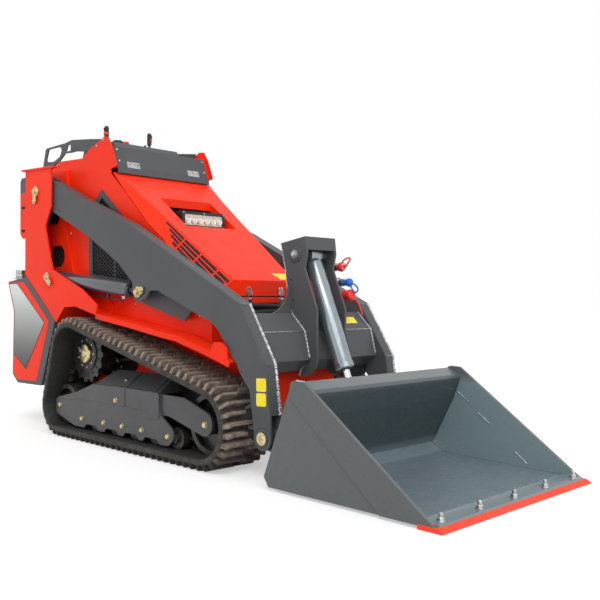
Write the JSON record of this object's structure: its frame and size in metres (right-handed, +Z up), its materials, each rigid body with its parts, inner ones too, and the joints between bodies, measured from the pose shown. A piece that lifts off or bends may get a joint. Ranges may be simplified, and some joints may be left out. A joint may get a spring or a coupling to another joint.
{
  "type": "compact track loader",
  "caption": "Stand-on compact track loader on rubber tracks, with lift arms, a tilt tower, a low bucket, a lifting hood and a folding operator platform.",
  "frame": {"origin": "on the ground, under the middle of the box that holds the whole machine as parked", "axes": "+X towards the bucket, +Y towards the machine's left, +Z up"},
  "size_m": [3.22, 1.024, 1.676],
  "materials": {
    "body_paint": "gloss",
    "arm_paint": "satin",
    "bucket_paint": "satin, scuffed",
    "rubber": "dusty",
    "black_paint": "satin",
    "zinc_steel": "yellow zinc",
    "chrome_rod": "polished",
    "engine_iron": "painted",
    "black_plastic": "gloss"
  },
  "bodies": {
    "chassis": {"belly_pan": "body_paint", "left_chassis_wall": "body_paint", "right_chassis_wall": "body_paint", "engine_block": "engine_iron", "front_panel": "body_paint", "rear_panel": "body_paint", "left_fender": "body_paint", "right_fender": "body_paint", "left_side_panel": "body_paint", "right_side_panel": "body_paint", "side_grilles": "black_paint", "control_console": "arm_paint", "name_plate": "arm_paint", "control_pod": "arm_paint", "control_levers": "black_plastic", "hand_guards": "arm_paint", "rear_housing": "arm_paint", "left_tank": "body_paint", "right_tank": "body_paint", "tank_caps": "zinc_steel", "left_post": "body_paint", "right_post": "body_paint", "post_pins": "zinc_steel", "platform_hinge": "arm_paint", "left_track": "rubber", "right_track": "rubber", "left_drive_sprocket": "black_paint", "right_drive_sprocket": "black_paint", "left_track_frame": "arm_paint", "right_track_frame": "arm_paint", "left_track_wheels": "black_paint", "right_track_wheels": "black_paint"},
    "boom": {"left_arm": "arm_paint", "right_arm": "arm_paint", "arm_pins": "zinc_steel", "crossmember": "arm_paint", "tilt_tower": "arm_paint", "tilt_pin": "zinc_steel", "hydraulic_couplers": "zinc_steel"},
    "left_lift_barrel": {"left_lift_barrel": "arm_paint"},
    "right_lift_barrel": {"right_lift_barrel": "arm_paint"},
    "left_lift_rod": {"left_lift_rod": "chrome_rod"},
    "right_lift_rod": {"right_lift_rod": "chrome_rod"},
    "tilt_barrel": {"tilt_barrel": "arm_paint"},
    "tilt_rod": {"tilt_rod": "chrome_rod"},
    "bucket": {"bucket_shell": "bucket_paint", "left_bucket_side": "bucket_paint", "right_bucket_side": "bucket_paint", "cutting_edge": "body_paint", "attachment_plate": "bucket_paint"},
    "hood": {"hood": "body_paint", "work_light": "black_plastic", "hood_hinges": "zinc_steel", "hood_latches": "zinc_steel"},
    "platform": {"platform": "arm_paint"}
  },
  "joints": [
    {"name": "boom_lift", "type": "hinge", "parent": "chassis", "child": "boom", "pos_m": [-1.05, 0, 1.308], "axis": [0, -1, 0], "range_deg": [0, 55]},
    {"name": "bucket_tilt", "type": "hinge", "parent": "boom", "child": "bucket", "pos_m": [0.732, 0, 0.165], "axis": [0, -1, 0], "range_deg": [-85, 15]},
    {"name": "hood_lift", "type": "hinge", "parent": "chassis", "child": "hood", "pos_m": [-0.439, 0, 1.376], "axis": [0, -1, 0], "range_deg": [0, 60]},
    {"name": "platform_fold", "type": "hinge", "parent": "chassis", "child": "platform", "pos_m": [-1.22, 0, 0.25], "axis": [0, 1, 0], "range_deg": [0, 85]},
    {"name": "left_lift_barrel_swing", "type": "hinge", "parent": "chassis", "child": "left_lift_barrel", "pos_m": [-0.921, 0.3825, 0.831], "axis": [0, -1, 0], "range_deg": [-1, 54]},
    {"name": "left_lift_rod_slide", "type": "slide", "parent": "left_lift_barrel", "child": "left_lift_rod", "axis": [0.9946, 0, -0.1042], "range_m": [-0.005, 0.462]},
    {"name": "right_lift_barrel_swing", "type": "hinge", "parent": "chassis", "child": "right_lift_barrel", "pos_m": [-0.921, -0.3825, 0.831], "axis": [0, -1, 0], "range_deg": [-1, 54]},
    {"name": "right_lift_rod_slide", "type": "slide", "parent": "right_lift_barrel", "child": "right_lift_rod", "axis": [0.9946, 0, -0.1042], "range_m": [-0.005, 0.462]},
    {"name": "tilt_barrel_swing", "type": "hinge", "parent": "boom", "child": "tilt_barrel", "pos_m": [0.608, 0, 0.905], "axis": [0, -1, 0], "range_deg": [-6, 6]},
    {"name": "tilt_rod_slide", "type": "slide", "parent": "tilt_barrel", "child": "tilt_rod", "axis": [0.3703, 0, -0.9289], "range_m": [-0.05, 0.245]}
  ],
  "couplings": [
    {"joint": "left_lift_barrel_swing", "follows": "boom_lift", "ratio": 0.9587},
    {"joint": "left_lift_rod_slide", "follows": "boom_lift", "m_per_rad": 0.47347},
    {"joint": "right_lift_barrel_swing", "follows": "boom_lift", "ratio": 0.9587},
    {"joint": "right_lift_rod_slide", "follows": "boom_lift", "m_per_rad": 0.47347},
    {"joint": "tilt_barrel_swing", "follows": "bucket_tilt", "ratio": 0.045},
    {"joint": "tilt_rod_slide", "follows": "bucket_tilt", "m_per_rad": -0.1604}
  ]
}
